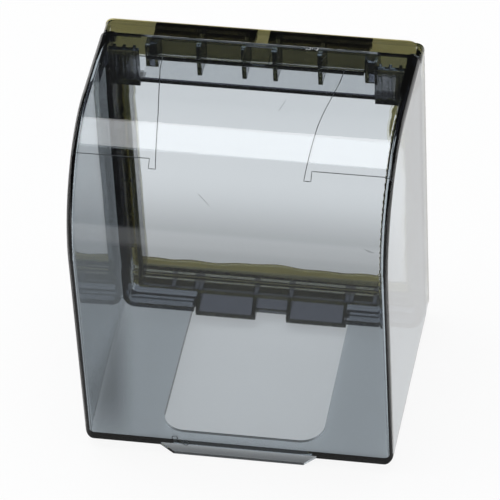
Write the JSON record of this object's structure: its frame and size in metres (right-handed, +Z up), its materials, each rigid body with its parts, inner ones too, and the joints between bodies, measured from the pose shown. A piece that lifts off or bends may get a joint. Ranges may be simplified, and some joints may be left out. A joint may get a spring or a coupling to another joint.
{
  "type": "weatherproof outlet box",
  "caption": "Smoked clear splash hood for a square wall socket: a taped-on frame with a deep hinged lid, curved at the top and cut out below for cables.",
  "frame": {"origin": "centre of the frame's outline, on the wall plane: the back of the tape's liner", "axes": "+Y into the wall, -Y the way the hood stands out, +X right seen from the front, +Z up"},
  "size_m": [0.1038, 0.0803, 0.1198],
  "materials": {
    "smoked_plastic": "polished clear, tinted grey",
    "black_acetal": "satin",
    "clear_tape": "tacky",
    "liner_paper": "smooth waxed paper"
  },
  "bodies": {
    "frame": {"base_frame": "smoked_plastic", "hinge_pin_left": "black_acetal", "hinge_pin_right": "black_acetal", "adhesive_tape_top": "clear_tape", "release_liner_top": "liner_paper", "adhesive_tape_bottom": "clear_tape", "release_liner_bottom": "liner_paper", "adhesive_tape_left": "clear_tape", "release_liner_left": "liner_paper", "adhesive_tape_right": "clear_tape", "release_liner_right": "liner_paper"},
    "hood": {"lid": "smoked_plastic"}
  },
  "joints": [
    {"name": "lid_hinge", "type": "hinge", "parent": "frame", "child": "hood", "pos_m": [0, -0.0073, 0.05425], "axis": [-1, 0, 0], "range_deg": [0, 90]}
  ]
}
